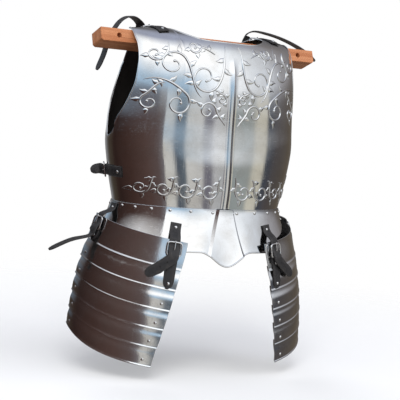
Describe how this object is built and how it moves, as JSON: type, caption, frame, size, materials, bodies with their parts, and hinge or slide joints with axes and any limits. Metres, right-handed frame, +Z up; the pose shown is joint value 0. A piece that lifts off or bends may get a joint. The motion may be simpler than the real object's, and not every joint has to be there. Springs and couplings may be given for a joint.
{
  "type": "steel cuirass with tassets on a wooden hanging bar",
  "caption": "Polished steel breastplate, backplate and waist plates with hinged thigh lames, black leather straps and wire buckles, hung by its shoulders on a plain wooden bar.",
  "frame": {"origin": "middle of the wooden bar that carries the shoulders", "axes": "+Z up; +X along the bar to the right as seen from the front; the front of the armour faces -Y"},
  "size_m": [0.6086, 0.2814, 0.6891],
  "materials": {
    "steel": "polished",
    "browned_steel": "polished",
    "black_leather": "satin",
    "bright_wire": "polished",
    "bar_wood": "bare"
  },
  "bodies": {
    "root": {"breastplate": "steel", "backplate": "steel", "fauld_front": "steel", "fauld_back": "steel", "left_tasset_lame_1": "browned_steel", "left_tasset_lame_2": "browned_steel", "left_tasset_lame_3": "browned_steel", "left_tasset_lame_4": "browned_steel", "left_tasset_lame_5": "browned_steel", "left_tasset_lame_6": "browned_steel", "left_tasset_leather_front": "black_leather", "left_tasset_leather_side": "black_leather", "left_front_strap": "black_leather", "left_front_chape": "black_leather", "left_front_buckle": "bright_wire", "left_hip_strap": "black_leather", "left_hip_chape": "black_leather", "left_hip_buckle": "bright_wire", "left_shoulder_strap": "black_leather", "left_shoulder_chape": "black_leather", "left_shoulder_buckle": "bright_wire", "left_side_strap": "black_leather", "left_side_chape": "black_leather", "left_side_buckle": "bright_wire", "right_tasset_lame_1": "browned_steel", "right_tasset_lame_2": "browned_steel", "right_tasset_lame_3": "browned_steel", "right_tasset_lame_4": "browned_steel", "right_tasset_lame_5": "browned_steel", "right_tasset_lame_6": "browned_steel", "right_tasset_leather_front": "black_leather", "right_tasset_leather_side": "black_leather", "right_front_strap": "black_leather", "right_front_chape": "black_leather", "right_front_buckle": "bright_wire", "right_hip_strap": "black_leather", "right_hip_chape": "black_leather", "right_hip_buckle": "bright_wire", "right_shoulder_strap": "black_leather", "right_shoulder_chape": "black_leather", "right_shoulder_buckle": "bright_wire", "right_side_strap": "black_leather", "right_side_chape": "black_leather", "right_side_buckle": "bright_wire", "hanging_bar": "bar_wood"}
  },
  "joints": []
}
